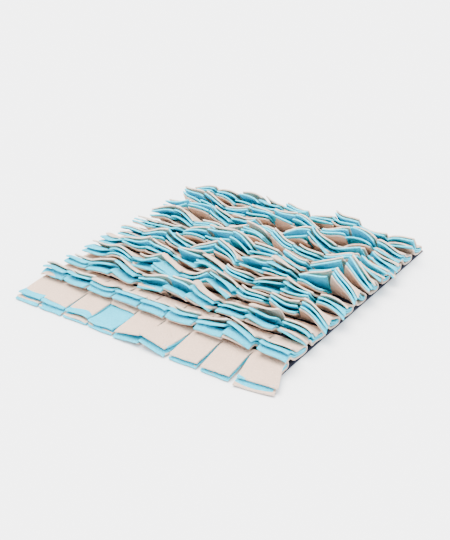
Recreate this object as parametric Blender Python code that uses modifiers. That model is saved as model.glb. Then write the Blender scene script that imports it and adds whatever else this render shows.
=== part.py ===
"""A snuffle mat: eleven rows of fleece flaps sewn side by side on a square of dark backing cloth.

Each row is a beige strip with a blue strip laid on it. Both are slit from their long edges into nine
flaps, sewn down along one line and folded up, so a row holds beige, blue, blue and beige flaps. The two
blue flaps lie face to face and are one thick flap here. Every flap leans towards the front edge, -Y,
and is laid on whatever is already there: the floor, the backing, its neighbour and the row in front.
"""

import math
import random

import bmesh
import bpy
import numpy as np
from mathutils.bvhtree import BVHTree

# Driving sizes, in metres. X runs along the rows, the front edge faces -Y, and the floor is at z = 0.
FLAPS = 9
ROWS = 11
FLAP_PITCH = 0.047  # one flap's width along a row
ROW_PITCH = 0.0405  # from sewing line to sewing line
FIRST_PITCH = 0.047  # from the front row to the second
SECOND_PITCH = 0.0495  # from the second row to the third
FLEECE = 0.0026
BLUE_PAIR = 2 * FLEECE  # two blue flaps, face to face
BACKING = 0.0016
BACKING_SIDE = 0.0005  # how far the backing shows past the ends of the rows
BACKING_FRONT = 0.009  # from the backing's front edge to the first sewing line
BACKING_BACK = 0.014
FRONT_FLAP = 0.057  # beige flap under the stack, from the edge of its sewn band
BLUE_FLAP = 0.058
BACK_FLAP = 0.059  # beige flap over the stack, from the top of its turn
BAND = 0.008  # depth of the beige band that is sewn down
BLUE_BAND = 0.006
SLIT = 0.0024  # the widest a slit opens between two flaps that lie straight
CLEARANCE = 0.0004  # between one layer and the next
SEWN_GAP = 0.0004  # between bands that are sewn face to face
OFF_THE_FLOOR = 0.00005  # under flaps that lie in front of the backing

# How a flap is cut into faces, and how freely it bends.
STEPS = 4
STEEPEST_CLIMB = math.tan(math.radians(52))
STEEPEST_DROP = math.tan(math.radians(28))
MOST_RISE = 0.95  # the most that a step rises, as a share of its length
HELD_SHARE = 0.6  # the part of the first step that the sewing holds
FIRST_EASE = 0.25  # the share of its lean that a flap has next to the sewing
LAYING_ROUNDS = 6  # how often a flap is lifted and then brought back to its length
LIFTS = 6  # soft lifts off the pile in each round
LEAST_UPRIGHT = 0.3  # a face steeper than this asks for no more height to keep its gap
BODY_SHEETS = (-0.5, -0.25, 0, 0.25, 0.5)  # heights in a flap's thickness at which the pile is raised
LEAST_GAP = 0.0003  # what the exact test leaves between two flaps
NUDGE = 0.00015  # one small lift of a step that still meets something
MOST_NUDGES = 60
FACES_A_STEP = 8  # triangles of a flap's body in one step
HELD_STEPS = 2  # the sewn band and the first step, where the flaps of a layer join

# The turn of a back flap, up and round the blue band: across the band and up, from its rear edge.
TURN = ((0.0026, 0.0018), (0.0030, 0.0062), (0.0004, 0.0091))

# Each row's lean in degrees at its left end, middle and right end; then how far the flaps at the right
# end droop sideways and splay outwards, how far all flaps vary in lean, how far they twist and turn
# sideways, how far a stack fans open, and the shortest share that a top flap is cut to.
ROW_STYLE = (
    # left, middle, right, droop, splay, vary, twist, turn, fan, shortest
    (-8, -8, -8, 0, 11, 0, 0, 1, 0, 0.97),
    (-2, 0, 5, 2, 8, 5, 6, 6, 0.5, 0.72),
    (1, 3, 9, 8, 14, 8, 9, 9, 1, 0.68),
    (2, 6, 22, 18, 21, 10, 11, 10, 1, 0.66),
    (4, 9, 26, 20, 21, 12, 13, 12, 1, 0.66),
    (5, 12, 28, 20, 19, 13, 14, 13, 1, 0.66),
    (7, 16, 30, 18, 19, 14, 16, 13, 1, 0.66),
    (10, 19, 28, 18, 17, 15, 17, 13, 1, 0.66),
    (12, 20, 29, 16, 17, 16, 18, 13, 1, 0.66),
    (14, 20, 29, 16, 13, 17, 19, 13, 1, 0.7),
    (14, 18, 29, 12, 10, 17, 20, 13, 1, 0.76),
)

# Flaps that lie in their own way: row, flap, layer, then what is added to lean, twist and turn.
FRONT, PAIR, BACK, ALL = 0, 1, 2, 3
ODD_FLAPS = (
    (1, 1, BACK, 3, -2, 4),
    (1, 6, BACK, 6, -3, -3),
    (3, 8, BACK, 10, 16, 0),
    (5, 9, ALL, -14, -4, 8),
    (7, 9, BACK, 10, -4, 3),
    (8, 9, BACK, 18, 8, 4),
    (9, 9, ALL, -12, -4, 5),
    (10, 4, BACK, 18, -14, 0),
    (11, 6, ALL, 16, 10, 0),
)
# Flaps that are cut to their own length: row, flap and layer, then the share of the usual length.
CUT_SHARES = {
    (1, 1, BACK): 0.86,
    (1, 2, BACK): 0.93,
    (1, 3, BACK): 0.93,
    (1, 4, BACK): 0.25,
    (1, 5, ALL): 1.06,
    (1, 6, ALL): 1.08,
    (1, 7, ALL): 1.1,
    (1, 8, ALL): 1.1,
    (1, 9, ALL): 1.05,
    (2, 4, BACK): 0.72,
    (2, 5, BACK): 0.66,
    (3, 7, BACK): 0.7,
}

BEIGE = (0.776, 0.672, 0.604, 1)
BLUE = (0.418, 0.716, 0.838, 1)
NAVY = (0.012, 0.014, 0.024, 1)

# The height map of everything laid so far.
CELL = 0.0005
MAP_MARGIN = 0.09

WIDTH = FLAPS * FLAP_PITCH
BAND_HEIGHT = BACKING + SEWN_GAP + FLEECE / 2
BLUE_HEIGHT = BACKING + 2 * SEWN_GAP + FLEECE + BLUE_PAIR / 2


def row_place(row):
    """The y of a row's sewing line, from that of the front row."""
    first_rows = (0, FIRST_PITCH, FIRST_PITCH + SECOND_PITCH)
    return first_rows[row - 1] if row < 4 else first_rows[-1] + (row - 3) * ROW_PITCH


DEPTH = row_place(ROWS)


class Pile:
    """Everything laid so far: the height of the topmost cloth in every small square, and each body."""

    def __init__(self):
        cells_x = int((WIDTH + 2 * MAP_MARGIN) / CELL)
        cells_y = int((DEPTH + 2 * MAP_MARGIN) / CELL)
        self.top = np.full((cells_x, cells_y), OFF_THE_FLOOR - CLEARANCE)
        self.bodies = []

    def cells(self, points):
        across = ((points[..., 0] + WIDTH / 2 + MAP_MARGIN) / CELL).astype(int)
        along = ((points[..., 1] + MAP_MARGIN) / CELL).astype(int)
        return across, along

    def height(self, points):
        return self.top[self.cells(points)]

    def add(self, points):
        np.maximum.at(self.top, self.cells(points), points[..., 2])


class Body:
    """The closed body of a flap and its sewn band, for finding out what it meets."""

    def __init__(self, nodes, thickness, layer, held_steps=0):
        over = nodes[:, 1:] - nodes[:, :1]
        upward = np.cross(np.gradient(nodes, axis=0), over)
        upward *= thickness / 2 / np.linalg.norm(upward, axis=2, keepdims=True)
        corners = np.stack([nodes - upward, nodes + upward], axis=1).reshape(-1, 3)
        faces = []
        for near in range(0, 4 * (len(nodes) - 1), 4):
            for a, b in ((0, 1), (2, 3), (0, 2), (1, 3)):
                faces.append((near + a, near + b, near + 4 + a))
                faces.append((near + b, near + 4 + b, near + 4 + a))
        end = 4 * (len(nodes) - 1)
        faces += [(end, end + 1, end + 2), (end + 1, end + 3, end + 2)]
        self.layer = layer
        self.low = corners.min(axis=0)
        self.high = corners.max(axis=0)
        self.whole = BVHTree.FromPolygons(corners.tolist(), faces)
        self.held_steps = held_steps
        self.free = BVHTree.FromPolygons(corners.tolist(), faces[held_steps * FACES_A_STEP :])

    def steps_that_meet(self, bodies):
        """The steps that meet other bodies, the sewn band being the first.

        Flaps of one layer join at the root, so only their free parts are compared.
        """
        met = set()
        for other in bodies:
            if (self.low > other.high).any() or (self.high < other.low).any():
                continue
            if self.layer == other.layer:
                faces = self.free.overlap(other.free)
                met |= {face // FACES_A_STEP + self.held_steps for face, _ in faces}
            else:
                met |= {face // FACES_A_STEP for face, _ in self.whole.overlap(other.whole)}
        return met


def surface_weights(steps, samples_along, samples_across, beyond_tip=0.0, beyond_side=0.0):
    """Weights that read a grid of samples from a flap's nodes, over the two triangles of each step."""
    weights = np.zeros((samples_along, samples_across, steps + 1, 2))
    for sample, place in enumerate(np.linspace(0, steps + beyond_tip, samples_along)):
        step = min(int(place), steps - 1)
        down = place - step
        over = np.linspace(-beyond_side, 1 + beyond_side, samples_across)
        first = down + over <= 1
        weights[sample, :, step, 0] = np.where(first, 1 - down - over, 0)
        weights[sample, :, step, 1] = np.where(first, over, 1 - down)
        weights[sample, :, step + 1, 0] = np.where(first, down, 1 - over)
        weights[sample, :, step + 1, 1] = np.where(first, 0, down + over - 1)
    return weights


TOUCH = surface_weights(STEPS, 50, 17, beyond_tip=0.12, beyond_side=0.028)
FINE = surface_weights(STEPS, 170, 130)


def spread(nodes, weights):
    """Points of the surface that a flap's nodes span."""
    return np.tensordot(weights, nodes, axes=2)


def normals(points):
    """Upward unit normals of a grid of points."""
    down_the_flap = np.gradient(points, axis=0)
    over_the_flap = np.gradient(points, axis=1)
    normal = np.cross(down_the_flap, over_the_flap)
    return normal / np.linalg.norm(normal, axis=2, keepdims=True)


def place_nodes(root, heights, runs, headings):
    """A flap's nodes, from its two root corners, the height of each node and each step's run."""
    nodes = np.zeros((STEPS + 1, 2, 3))
    nodes[0] = root
    for step in range(STEPS):
        nodes[step + 1, :, 0] = nodes[step, :, 0] + runs[step] * np.sin(headings[step])
        nodes[step + 1, :, 1] = nodes[step, :, 1] - runs[step] * np.cos(headings[step])
    opening = SLIT / 2 * np.minimum(1, np.arange(STEPS + 1))
    nodes[:, 0, 0] += opening
    nodes[:, 1, 0] -= opening
    nodes[:, :, 2] = heights
    return nodes


def lift_weights(full):
    """How far each free node rises for each millimetre that a sample lacks.

    Part of the lack at a time finds the lowest resting place, and the full lift makes sure of it.
    """
    weights = np.clip(TOUCH, 0, None)
    weights[:, :, 0] = 0
    weights[np.linspace(0, STEPS, TOUCH.shape[0]) < HELD_SHARE] = 0
    if full:
        weights /= np.maximum((weights**2).sum(axis=(2, 3), keepdims=True), 1e-6)
    return weights


PART_LIFT = lift_weights(full=False)
FULL_LIFT = lift_weights(full=True)
FIRST_STEP = np.linspace(0, STEPS, TOUCH.shape[0])[:, None] < 1


def bend_softly(heights, runs, step_length):
    """Keeps each step of a flap within the slopes that fleece takes."""
    for step in range(STEPS - 1, 0, -1):
        heights[step] = np.maximum(heights[step], heights[step + 1] - STEEPEST_CLIMB * runs[step])
    for step in range(1, STEPS + 1):
        lowest = heights[step - 1] - STEEPEST_DROP * runs[step - 1]
        highest = heights[step - 1] + MOST_RISE * step_length
        heights[step] = np.clip(heights[step], lowest, highest)
    return heights


def lifted(pile, before, root, heights, runs, headings, thickness, weights):
    """A flap's heights after one lift off the pile.

    Next to its root a flap can't meet its neighbours, so the first step looks at the pile before them.
    """
    points = spread(place_nodes(root, heights, runs, headings), TOUCH)
    upward = normals(points)
    underside = points - upward * thickness / 2
    under = np.where(FIRST_STEP, before.height(underside), pile.height(underside))
    gap = CLEARANCE / np.maximum(upward[:, :, 2], LEAST_UPRIGHT)
    lack = np.maximum(under + gap - underside[:, :, 2], 0)
    return heights + (lack[:, :, None, None] * weights).max(axis=(0, 1))


def lay_flap(pile, before, layer, behind, root, length, thickness, lean, twist, turn):
    """The middle surface of one flap, resting on the pile.

    It starts at its two root corners, and its sewn band lies between them and the two points behind.
    """
    step_length = length / STEPS
    eased = np.where(np.arange(STEPS) == 0, FIRST_EASE, 1)
    side = np.array([-1, 1])
    slopes = np.radians(eased[:, None] * (lean + twist * side))
    headings = np.radians(turn) * np.minimum(1, np.arange(STEPS))
    runs = step_length * np.cos(slopes)
    for _ in range(LAYING_ROUNDS):
        climb = np.cumsum(runs * np.tan(slopes), axis=0)
        heights = root[0, 2] + np.vstack([[0, 0], climb])
        for _ in range(LIFTS):
            heights = lifted(pile, before, root, heights, runs, headings, thickness, PART_LIFT)
        heights = bend_softly(heights, runs, step_length)
        rise = np.diff(heights, axis=0)
        runs = (runs + np.sqrt(step_length**2 - rise**2)) / 2
    for weights in (PART_LIFT, PART_LIFT, PART_LIFT, FULL_LIFT, FULL_LIFT, FULL_LIFT):
        heights = lifted(pile, before, root, heights, runs, headings, thickness, weights)
    for _ in range(MOST_NUDGES):
        nodes = np.concatenate([behind, place_nodes(root, heights, runs, headings)])
        body = Body(nodes, thickness + 2 * LEAST_GAP, layer, HELD_STEPS)
        met = body.steps_that_meet(pile.bodies)
        if not met:
            break
        for step in met:
            heights[max(step - 1, 1) : step + 1] += NUDGE
    return place_nodes(root, heights, runs, headings)


def cover(pile, nodes, behind, thickness, layer):
    """Adds a flap to the pile: its body, and a few sheets of points from its underside to its top."""
    pile.bodies.append(Body(np.concatenate([behind, nodes]), thickness, layer, HELD_STEPS))
    points = spread(nodes, FINE)
    upward = normals(points)
    for share in BODY_SHEETS:
        pile.add(points + upward * thickness * share)


def cover_turn(pile, turn):
    """Adds the turn of a row's back flaps to the pile, with room for its thickness."""
    left = int(MAP_MARGIN / CELL)
    right = int((MAP_MARGIN + WIDTH) / CELL)
    highest = max(z for _, z in turn) + FLEECE / 2
    front = int((MAP_MARGIN + turn[-1][0]) / CELL)
    back = int((MAP_MARGIN + max(y for y, _ in turn) + FLEECE / 2) / CELL)
    strip = pile.top[left : right + 1, front : back + 1]
    np.maximum(strip, highest, out=strip)


def flap_style(row, flap, layer):
    """Lean, twist and turn of one flap, in degrees."""
    left, middle, right, droop, splay, vary, twist, turn, fan, _ = ROW_STYLE[row - 1]
    place = (flap - 1) / (FLAPS - 1) * 2 - 1
    lean = middle + (right - middle) * max(place, 0) ** 2 + (left - middle) * max(-place, 0)
    stack = random.Random(100 * row + flap)
    lean += stack.uniform(-1, 1) * vary
    twisted = stack.uniform(-1, 1) * twist - droop * max(place, 0) ** 3
    turned = stack.uniform(-1, 1) * turn * (1 - abs(place) / 2) + splay * max(place, 0) ** 3
    own = random.Random(1000 * layer + 100 * row + flap)
    lean += (layer - 1) * fan * own.uniform(0.2, 1)
    twisted += own.uniform(-0.12, 0.12) * twist
    turned += own.uniform(-0.15, 0.15) * turn
    for odd_row, odd_flap, odd_layer, more_lean, more_twist, more_turn in ODD_FLAPS:
        if (row, flap) == (odd_row, odd_flap) and odd_layer in (layer, ALL):
            lean += more_lean
            twisted += more_twist
            turned += more_turn
    return lean, twisted, turned


def length_share(row, flap, layer):
    """The share of its layer's usual length that a flap is cut to."""
    for cut in ((row, flap, layer), (row, flap, ALL)):
        if cut in CUT_SHARES:
            return CUT_SHARES[cut]
    shortest = ROW_STYLE[row - 1][-1] if layer == BACK else 0.96
    return 1 - (1 - shortest) * random.Random(4000 + 1000 * layer + 100 * row + flap).random() ** 3


def flap_edge(flap):
    """The x of the slit on the left of a flap."""
    return (flap - 1) * FLAP_PITCH - WIDTH / 2


def lay_layer(pile, row, layer, held, length, thickness):
    """Lays the nine flaps of one layer of a row and returns their nodes.

    held is the last piece of the sewn band: the y and z of the line behind the roots, then the roots'.
    """
    before = Pile()
    before.top = pile.top.copy()
    flaps = []
    for flap in range(1, FLAPS + 1):
        behind, root = np.array([[(flap_edge(side), y, z) for side in (flap, flap + 1)] for y, z in held])
        lean, twist, turn = flap_style(row, flap, layer)
        cut = length * length_share(row, flap, layer)
        nodes = lay_flap(pile, before, (row, layer), behind[None], root, cut, thickness, lean, twist, turn)
        cover(pile, nodes, behind[None], thickness, (row, layer))
        flaps.append(nodes)
    return flaps


def strip_surface(name, bands, flap_sets):
    """An open sheet: bands of faces across the sewn part, and flaps hung on rows of its points.

    bands are lines across the strip, each a y and a z; a flap set is its line's number and its flaps.
    """
    mesh = bpy.data.meshes.new(name)
    sheet = bmesh.new()
    lines = []
    for y, z in bands:
        lines.append([sheet.verts.new((flap_edge(flap), y, z)) for flap in range(1, FLAPS + 2)])
    for lower, upper in zip(lines, lines[1:]):
        for flap in range(FLAPS):
            sheet.faces.new((lower[flap], lower[flap + 1], upper[flap + 1], upper[flap]))
    for line, flaps in flap_sets:
        for flap, nodes in enumerate(flaps):
            last = [lines[line][flap], lines[line][flap + 1]]
            for pair in nodes[1:]:
                following = [sheet.verts.new(pair[0]), sheet.verts.new(pair[1])]
                sheet.faces.new((last[0], last[1], following[0]))
                sheet.faces.new((last[1], following[1], following[0]))
                last = following
    bmesh.ops.recalc_face_normals(sheet, faces=sheet.faces)
    sheet.to_mesh(mesh)
    sheet.free()
    return mesh


def material(name, colour, roughness):
    made = bpy.data.materials.new(name)
    made.use_nodes = True
    shader = made.node_tree.nodes["Principled BSDF"]
    shader.inputs["Base Color"].default_value = colour
    shader.inputs["Roughness"].default_value = roughness
    shader.inputs["Metallic"].default_value = 0
    return made


def cloth_object(name, mesh, thickness, finish, collection):
    """A sheet given its thickness on both sides of its surface."""
    cloth = bpy.data.objects.new(name, mesh)
    cloth.data.materials.append(finish)
    collection.objects.link(cloth)
    solid = cloth.modifiers.new("thickness", "SOLIDIFY")
    solid.thickness = thickness
    solid.offset = 0
    return cloth


def make_backing(collection, finish):
    """The square of cloth under the rows, flat on the floor."""
    front = -BACKING_FRONT
    back = DEPTH + BACKING_BACK
    bpy.ops.mesh.primitive_cube_add(size=1, location=(0, (front + back) / 2, BACKING / 2))
    backing = bpy.context.object
    backing.name = "backing"
    backing.scale = (WIDTH + 2 * BACKING_SIDE, back - front, BACKING)
    bpy.ops.object.transform_apply(location=True, scale=True)
    for owner in backing.users_collection:
        owner.objects.unlink(backing)
    collection.objects.link(backing)
    backing.data.materials.append(finish)
    return backing


def lay_backing(pile):
    """The backing's top, as the first thing on the floor."""
    front = int((MAP_MARGIN - BACKING_FRONT) / CELL)
    back = int((MAP_MARGIN + DEPTH + BACKING_BACK) / CELL)
    left = int((MAP_MARGIN - BACKING_SIDE) / CELL)
    right = int((MAP_MARGIN + WIDTH + BACKING_SIDE) / CELL)
    pile.top[left : right + 1, front : back + 1] = BACKING
    side = WIDTH / 2 + BACKING_SIDE
    edges = [[(x, y, BACKING / 2) for x in (-side, side)] for y in (-BACKING_FRONT, DEPTH + BACKING_BACK)]
    pile.bodies.append(Body(np.array(edges), BACKING, "backing"))


def make_row(pile, row, collection, beige, blue):
    """One row's beige strip and blue strip."""
    y = row_place(row)
    beige_band = [(y + BAND / 2, BAND_HEIGHT), (y - BAND / 2, BAND_HEIGHT)]
    blue_band = [(y + BLUE_BAND / 2, BLUE_HEIGHT), (y - BLUE_BAND / 2, BLUE_HEIGHT)]
    front_flaps = lay_layer(pile, row, FRONT, beige_band, FRONT_FLAP, FLEECE)
    blue_flaps = lay_layer(pile, row, PAIR, blue_band, BLUE_FLAP, BLUE_PAIR)
    turn = [(y + BAND / 2, BAND_HEIGHT)]
    turn += [(y + BAND / 2 + across, BAND_HEIGHT + up) for across, up in TURN]
    cover_turn(pile, turn)
    back_flaps = lay_layer(pile, row, BACK, turn[-2:], BACK_FLAP, FLEECE)
    bands = [(y - BAND / 2, BAND_HEIGHT)] + turn
    edges = [[(x, y, z) for x in (-WIDTH / 2, WIDTH / 2)] for y, z in turn]
    pile.bodies.append(Body(np.array(edges), FLEECE, "turn"))
    sheet = strip_surface("beige", bands, [(0, front_flaps), (len(bands) - 1, back_flaps)])
    strip = cloth_object(f"beige_strip_{row:02d}", sheet, FLEECE, beige, collection)
    sheet = strip_surface("blue", blue_band, [(1, blue_flaps)])
    pair = cloth_object(f"blue_strip_{row:02d}", sheet, BLUE_PAIR, blue, collection)
    return [strip, pair]


def centre_on_origin(parts):
    """Moves everything so that the origin is under the middle of the whole mat."""
    graph = bpy.context.evaluated_depsgraph_get()
    corners = []
    for part in parts:
        corners += [np.array(corner) for corner in part.evaluated_get(graph).bound_box]
    middle = (np.min(corners, axis=0) + np.max(corners, axis=0)) / 2
    for part in parts:
        for vertex in part.data.vertices:
            vertex.co.x -= middle[0]
            vertex.co.y -= middle[1]


def main():
    for old in list(bpy.data.objects):
        bpy.data.objects.remove(old, do_unlink=True)
    collection = bpy.data.collections.new("snuffle_mat")
    bpy.context.scene.collection.children.link(collection)
    beige = material("beige_fleece", BEIGE, 0.95)
    blue = material("blue_fleece", BLUE, 0.95)
    navy = material("navy_backing", NAVY, 0.9)
    parts = [make_backing(collection, navy)]
    pile = Pile()
    lay_backing(pile)
    for row in range(1, ROWS + 1):
        parts += make_row(pile, row, collection, beige, blue)
    centre_on_origin(parts)


main()
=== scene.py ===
# %% [markdown]
# # A snuffle mat, from sewn strips of fleece to a finished picture
# A snuffle mat hides dog treats between rows of soft flaps. This lesson dresses a plain solid model of one.
# We load the solid parts as a fixed frame, work out how every flap lies, cut fine fleece to that shape,
# and finish with fabrics, light and a camera.

# %% Load the frame
import math
import random

import bmesh
import bpy
import numpy as np
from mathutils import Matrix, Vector
from mathutils.bvhtree import BVHTree


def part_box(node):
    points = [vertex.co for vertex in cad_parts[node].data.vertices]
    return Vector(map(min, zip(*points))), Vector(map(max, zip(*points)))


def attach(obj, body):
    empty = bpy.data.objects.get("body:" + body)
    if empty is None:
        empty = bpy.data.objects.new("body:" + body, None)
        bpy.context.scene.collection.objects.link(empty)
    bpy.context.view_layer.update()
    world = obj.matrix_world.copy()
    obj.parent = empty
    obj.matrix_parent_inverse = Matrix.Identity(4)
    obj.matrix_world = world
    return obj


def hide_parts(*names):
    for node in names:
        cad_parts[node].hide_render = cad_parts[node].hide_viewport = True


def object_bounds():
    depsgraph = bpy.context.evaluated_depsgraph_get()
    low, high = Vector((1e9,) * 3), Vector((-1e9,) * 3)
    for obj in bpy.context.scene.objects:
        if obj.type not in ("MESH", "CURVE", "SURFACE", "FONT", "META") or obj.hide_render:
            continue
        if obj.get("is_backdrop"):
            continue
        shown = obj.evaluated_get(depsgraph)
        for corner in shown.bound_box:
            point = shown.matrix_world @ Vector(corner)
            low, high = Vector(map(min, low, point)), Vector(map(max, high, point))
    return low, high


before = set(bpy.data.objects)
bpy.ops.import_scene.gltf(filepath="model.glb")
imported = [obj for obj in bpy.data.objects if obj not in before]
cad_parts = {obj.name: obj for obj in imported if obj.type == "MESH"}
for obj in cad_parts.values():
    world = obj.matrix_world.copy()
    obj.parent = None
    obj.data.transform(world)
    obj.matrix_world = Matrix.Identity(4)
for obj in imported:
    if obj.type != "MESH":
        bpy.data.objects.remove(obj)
solid_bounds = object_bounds()
print("solid parts:", len(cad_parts))

# %% [markdown]
# ## The pattern
# The maker cuts eleven beige and eleven blue strips, slits both long edges of each into nine flaps, lays
# the blue strip on the beige one, sews both down along one line and folds the flaps up. The sizes
# below are the cutting pattern. They are the same ones as the solid model's, so the fine cloth fits it.

# %% The cutting pattern, in metres
FLAPS = 9
ROWS = 11
FLAP_PITCH = 0.047  # one flap's width along a row
ROW_PITCH = 0.0405  # from sewing line to sewing line
FIRST_PITCH = 0.047  # from the front row to the second
SECOND_PITCH = 0.0495  # from the second row to the third
FLEECE = 0.0026  # the thickness of one flap
BLUE_PAIR = 2 * FLEECE  # two blue flaps, face to face
FRONT_FLAP = 0.057  # beige flap under the stack, from the edge of its sewn band
BLUE_FLAP = 0.058  # both blue flaps, from the edge of their sewn band
BACK_FLAP = 0.059  # beige flap over the stack, from the top of its turn
BAND = 0.008  # depth of the beige band that is sewn down
BLUE_BAND = 0.006  # depth of the blue band inside it
WIDTH = FLAPS * FLAP_PITCH
print("a row of", FLAPS, "flaps is", round(WIDTH, 3), "m long")

# %% [markdown]
# ## Where the rows and the backing go
# The rows are counted from the front. The first two gaps are a little wider than the rest, where the cloth
# has moved. The pattern has its zero at the middle of the front seam, and the solid mat stands elsewhere,
# so the corner of the solid backing tells how far everything is moved at the end.

# %% Rows and backing
BACKING = 0.0016  # the thickness of the backing
BACKING_SIDE = 0.0005  # how far the backing shows past the ends of the rows
BACKING_FRONT = 0.009  # from the backing's front edge to the first sewing line
BACKING_BACK = 0.014  # from the last sewing line to its back edge


def row_place(row):
    """The y of a row's sewing line, from that of the front row."""
    first_rows = (0, FIRST_PITCH, FIRST_PITCH + SECOND_PITCH)
    return first_rows[row - 1] if row < 4 else first_rows[-1] + (row - 3) * ROW_PITCH


DEPTH = row_place(ROWS)
backing_low, backing_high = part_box("backing")
SHIFT = np.array([backing_low.x + BACKING_SIDE + WIDTH / 2, backing_low.y + BACKING_FRONT, 0])
print("front row to back row:", round(DEPTH, 4), "m; moved by", SHIFT.round(4), "to fit the solid mat")

# %% [markdown]
# ## How the flaps want to lie
# A flap can't be placed by eye when there are almost three hundred. Each row gets a few numbers instead:
# how far it leans at its left end, middle and right end, how much its flaps droop and splay at the right
# end, vary, twist and turn, how far a stack fans open, and how short its shortest top flap is cut. The
# front rows are almost flat and tidy, and the back rows stand up and are ruffled.

# %% The style of each row
ROW_STYLE = (
    # left, middle, right, droop, splay, vary, twist, turn, fan: all in degrees; then shortest, as a share
    (-8, -8, -8, 0, 11, 0, 0, 1, 0, 0.97),
    (-2, 0, 5, 2, 8, 5, 6, 6, 0.5, 0.72),
    (1, 3, 9, 8, 14, 8, 9, 9, 1, 0.68),
    (2, 6, 22, 18, 21, 10, 11, 10, 1, 0.66),
    (4, 9, 26, 20, 21, 12, 13, 12, 1, 0.66),
    (5, 12, 28, 20, 19, 13, 14, 13, 1, 0.66),
    (7, 16, 30, 18, 19, 14, 16, 13, 1, 0.66),
    (10, 19, 28, 18, 17, 15, 17, 13, 1, 0.66),
    (12, 20, 29, 16, 17, 16, 18, 13, 1, 0.66),
    (14, 20, 29, 16, 13, 17, 19, 13, 1, 0.7),
    (14, 18, 29, 12, 10, 17, 20, 13, 1, 0.76),
)
print("back row leans from", ROW_STYLE[-1][0], "degrees at its left end to", ROW_STYLE[-1][2], "at its right")

# %% Flaps that stand out, and flaps cut long or short
FRONT, PAIR, BACK, ALL = 0, 1, 2, 3  # the layers of a stack, from the bottom up
ODD_FLAPS = (
    # row, flap, layer, then how many degrees more it leans, twists and turns
    (1, 1, BACK, 3, -2, 4),
    (1, 6, BACK, 6, -3, -3),
    (3, 8, BACK, 10, 16, 0),
    (5, 9, ALL, -14, -4, 8),
    (7, 9, BACK, 10, -4, 3),
    (8, 9, BACK, 18, 8, 4),
    (9, 9, ALL, -12, -4, 5),
    (10, 4, BACK, 18, -14, 0),
    (11, 6, ALL, 16, 10, 0),
)
CUT_SHARES = {
    # row, flap, layer: the share of its usual length
    (1, 1, BACK): 0.86,
    (1, 2, BACK): 0.93,
    (1, 3, BACK): 0.93,
    (1, 4, BACK): 0.25,
    (1, 5, ALL): 1.06,
    (1, 6, ALL): 1.08,
    (1, 7, ALL): 1.1,
    (1, 8, ALL): 1.1,
    (1, 9, ALL): 1.05,
    (2, 4, BACK): 0.72,
    (2, 5, BACK): 0.66,
    (3, 7, BACK): 0.7,
}
print("flaps that stand out:", len(ODD_FLAPS), "and with a length of their own:", len(CUT_SHARES))

# %% [markdown]
# ## Chance that never changes
# The rest is left to chance, but the mat must come out the same each time. So each flap has its own seeded
# generator: its row, its place and its layer make the seed, and each use of it starts from another number.

# %% Lean, twist and turn of each flap
STYLE_CHANCE, LENGTH_CHANCE = 0, 4000
OWN_TWIST, OWN_TURN = 0.12, 0.15  # how far the flaps of one stack differ, as a share of the row's


def chance(start, row, flap, layer=0):
    """A flap's own random numbers, the same each time."""
    return random.Random(start + 1000 * layer + 100 * row + flap)


def flap_style(row, flap, layer):
    """Lean, twist and turn of one flap, in degrees."""
    left, middle, right, droop, splay, vary, twist, turn, fan, _ = ROW_STYLE[row - 1]
    place = (flap - 1) / (FLAPS - 1) * 2 - 1
    lean = middle + (right - middle) * max(place, 0) ** 2 + (left - middle) * max(-place, 0)
    stack = chance(STYLE_CHANCE, row, flap)
    lean += stack.uniform(-1, 1) * vary
    twisted = stack.uniform(-1, 1) * twist - droop * max(place, 0) ** 3
    turned = stack.uniform(-1, 1) * turn * (1 - abs(place) / 2) + splay * max(place, 0) ** 3
    own = chance(STYLE_CHANCE, row, flap, layer)
    lean += (layer - 1) * fan * own.uniform(0.2, 1)
    twisted += own.uniform(-OWN_TWIST, OWN_TWIST) * twist
    turned += own.uniform(-OWN_TURN, OWN_TURN) * turn
    for odd_row, odd_flap, odd_layer, more_lean, more_twist, more_turn in ODD_FLAPS:
        if (row, flap) == (odd_row, odd_flap) and odd_layer in (layer, ALL):
            lean += more_lean
            twisted += more_twist
            turned += more_turn
    return lean, twisted, turned


for row in (1, ROWS):
    leans = [round(flap_style(row, flap, FRONT)[0]) for flap in range(1, FLAPS + 1)]
    print("row", row, "leans", leans, "degrees")

# %% How long each flap is cut
SHORTEST_INSIDE = 0.96  # of the flaps that aren't on top


def length_share(row, flap, layer):
    """The share of its layer's usual length that a flap is cut to."""
    for cut in ((row, flap, layer), (row, flap, ALL)):
        if cut in CUT_SHARES:
            return CUT_SHARES[cut]
    shortest = ROW_STYLE[row - 1][-1] if layer == BACK else SHORTEST_INSIDE
    return 1 - (1 - shortest) * chance(LENGTH_CHANCE, row, flap, layer).random() ** 3


print("top flaps of row 6:", [round(length_share(6, flap, BACK), 2) for flap in range(1, FLAPS + 1)])

# %% [markdown]
# ## The pile
# Flaps rest on what is under them, like shingles or fallen leaves. To know what is there, we keep a height
# map: a fine grid over the floor that holds the top of everything laid so far. It is quick to read but
# coarse, so the pile also keeps a list of bodies for an exact test.

# %% The height map
CELL = 0.0005  # the side of one square of the map
MAP_MARGIN = 0.09  # how far the map reaches past the rows, all round
CLEARANCE = 0.0004  # between one layer and the next
OFF_THE_FLOOR = 0.00005  # under flaps that lie in front of the backing


class Pile:
    """Everything laid so far: the height of the topmost cloth in every small square, and each body."""

    def __init__(self):
        cells_x = int((WIDTH + 2 * MAP_MARGIN) / CELL)
        cells_y = int((DEPTH + 2 * MAP_MARGIN) / CELL)
        self.top = np.full((cells_x, cells_y), OFF_THE_FLOOR - CLEARANCE)
        self.bodies = []

    def cells(self, points):
        across = ((points[..., 0] + WIDTH / 2 + MAP_MARGIN) / CELL).astype(int)
        along = ((points[..., 1] + MAP_MARGIN) / CELL).astype(int)
        return across, along

    def height(self, points):
        return self.top[self.cells(points)]

    def add(self, points):
        np.maximum.at(self.top, self.cells(points), points[..., 2])


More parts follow.
